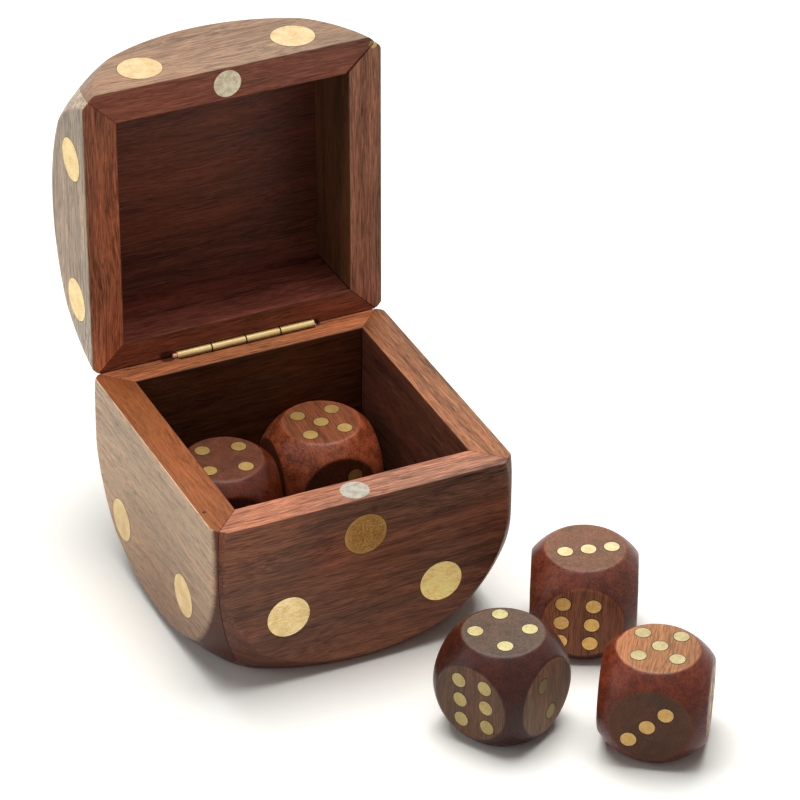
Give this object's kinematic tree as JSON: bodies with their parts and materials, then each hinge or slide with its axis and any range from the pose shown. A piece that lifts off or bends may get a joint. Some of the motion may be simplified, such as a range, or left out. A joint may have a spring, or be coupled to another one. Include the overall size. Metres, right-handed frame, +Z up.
{
  "type": "dice box with hinged lid",
  "caption": "Dark wooden box in the form of a big rounded die, with inlaid brass pips, a lid on a brass butt hinge held shut by magnets, and small wooden dice",
  "frame": {"origin": "centre of the box's flat underside", "axes": "+Z up, -Y the box's front, where the magnets are, +Y the hinge side, +X right as seen from the front"},
  "size_m": [0.1032, 0.1683, 0.1194],
  "materials": {
    "box_wood": "oiled",
    "dice_wood": "oiled",
    "disc_brass": "brushed",
    "pip_brass": "brushed",
    "hinge_brass": "satin",
    "magnet_steel": "satin plated"
  },
  "bodies": {
    "base": {"base_front_wall": "box_wood", "base_back_wall": "box_wood", "base_left_wall": "box_wood", "base_right_wall": "box_wood", "base_floor": "box_wood", "base_front_dots": "disc_brass", "base_back_dots": "disc_brass", "base_left_dots": "disc_brass", "base_right_dots": "disc_brass", "base_bottom_dot": "disc_brass", "base_magnet": "magnet_steel", "hinge_base_leaf": "hinge_brass", "hinge_base_nails": "hinge_brass", "hinge_pin": "hinge_brass"},
    "lid": {"lid_front_wall": "box_wood", "lid_back_wall": "box_wood", "lid_left_wall": "box_wood", "lid_right_wall": "box_wood", "lid_top": "box_wood", "lid_front_dots": "disc_brass", "lid_back_dots": "disc_brass", "lid_left_dots": "disc_brass", "lid_right_dots": "disc_brass", "lid_top_dots": "disc_brass", "lid_magnet": "magnet_steel", "hinge_lid_leaf": "hinge_brass", "hinge_lid_nails": "hinge_brass"},
    "die_1": {"die_1": "dice_wood", "die_1_pips": "pip_brass"},
    "die_2": {"die_2": "dice_wood", "die_2_pips": "pip_brass"},
    "die_3": {"die_3": "dice_wood", "die_3_pips": "pip_brass"},
    "die_4": {"die_4": "dice_wood", "die_4_pips": "pip_brass"},
    "die_5": {"die_5": "dice_wood", "die_5_pips": "pip_brass"}
  },
  "joints": [
    {"name": "lid_hinge", "type": "hinge", "parent": "base", "child": "lid", "pos_m": [0.0016, 0.03585, 0.04605], "axis": [1, 0, 0], "range_deg": [0, 91.2]},
    {"name": "die_1_lift", "type": "slide", "parent": "base", "child": "die_1", "axis": [0, 0, 1], "range_m": [0, 0.05]},
    {"name": "die_2_lift", "type": "slide", "parent": "base", "child": "die_2", "axis": [0, 0, 1], "range_m": [0, 0.05]},
    {"name": "die_3_lift", "type": "slide", "parent": "base", "child": "die_3", "axis": [0, 0, 1], "range_m": [0, 0.05]},
    {"name": "die_4_lift", "type": "slide", "parent": "base", "child": "die_4", "axis": [0, 0, 1], "range_m": [0, 0.03]},
    {"name": "die_5_lift", "type": "slide", "parent": "base", "child": "die_5", "axis": [0, 0, 1], "range_m": [0, 0.03]}
  ]
}
